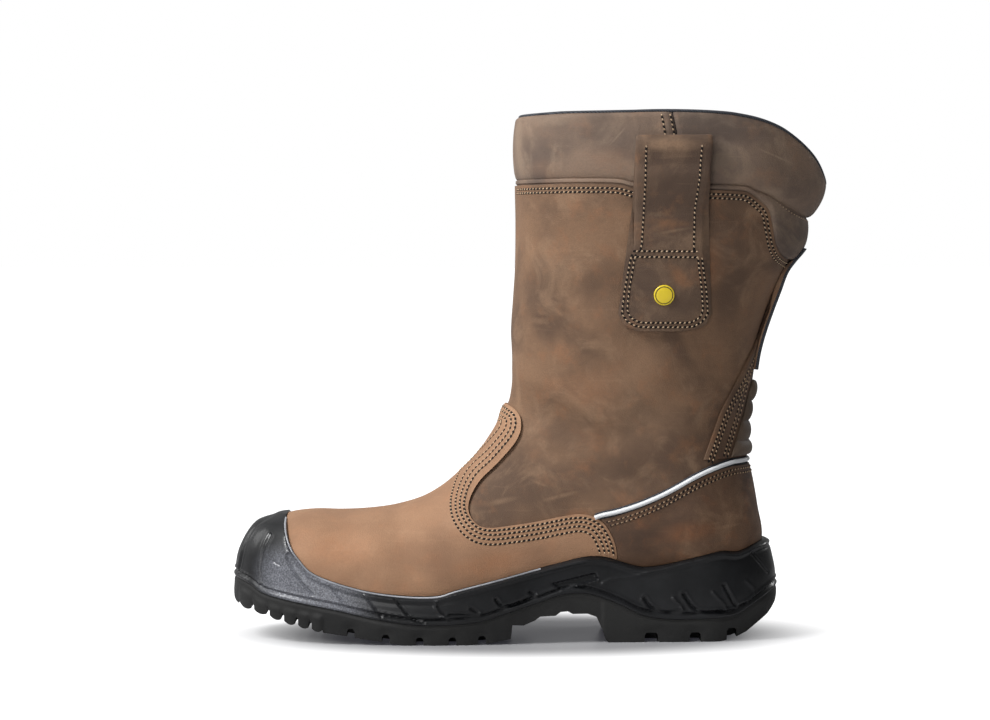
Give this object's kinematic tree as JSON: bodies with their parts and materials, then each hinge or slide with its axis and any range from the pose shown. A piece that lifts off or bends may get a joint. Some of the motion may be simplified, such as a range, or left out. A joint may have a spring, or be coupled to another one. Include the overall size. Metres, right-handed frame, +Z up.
{
  "type": "pull-on work boot",
  "caption": "Mid-calf pull-on work boot in waxy brown leather, padded cuff, side pull loops, ribbed heel pad, moulded black sole with toe scuff cap.",
  "frame": {"origin": "on the floor, under the middle of the boot's box", "axes": "+X from toe to heel, +Y to the inner side of the left foot, +Z up"},
  "size_m": [0.3358, 0.1278, 0.2995],
  "materials": {
    "tread_rubber": "matt dark grey rubber",
    "sole_foam": "satin black moulded foam",
    "footbed": "dark grey felt",
    "shaft_leather": "waxy brown leather",
    "vamp_leather": "lighter waxy brown leather",
    "collar_leather": "soft brown leather",
    "dark_web": "dark woven strap",
    "light_piping": "pale reflective cord",
    "yellow_disc": "plain yellow disc"
  },
  "bodies": {
    "root": {"outsole": "tread_rubber", "midsole": "sole_foam", "insole": "footbed", "upper": "shaft_leather", "vamp": "vamp_leather", "heel_counter": "vamp_leather", "rear_panel": "shaft_leather", "back_pad": "shaft_leather", "back_strip": "dark_web", "piping": "light_piping", "collar": "collar_leather", "pull_loop_outer": "shaft_leather", "pull_loop_inner": "shaft_leather", "badge": "yellow_disc"}
  },
  "joints": []
}
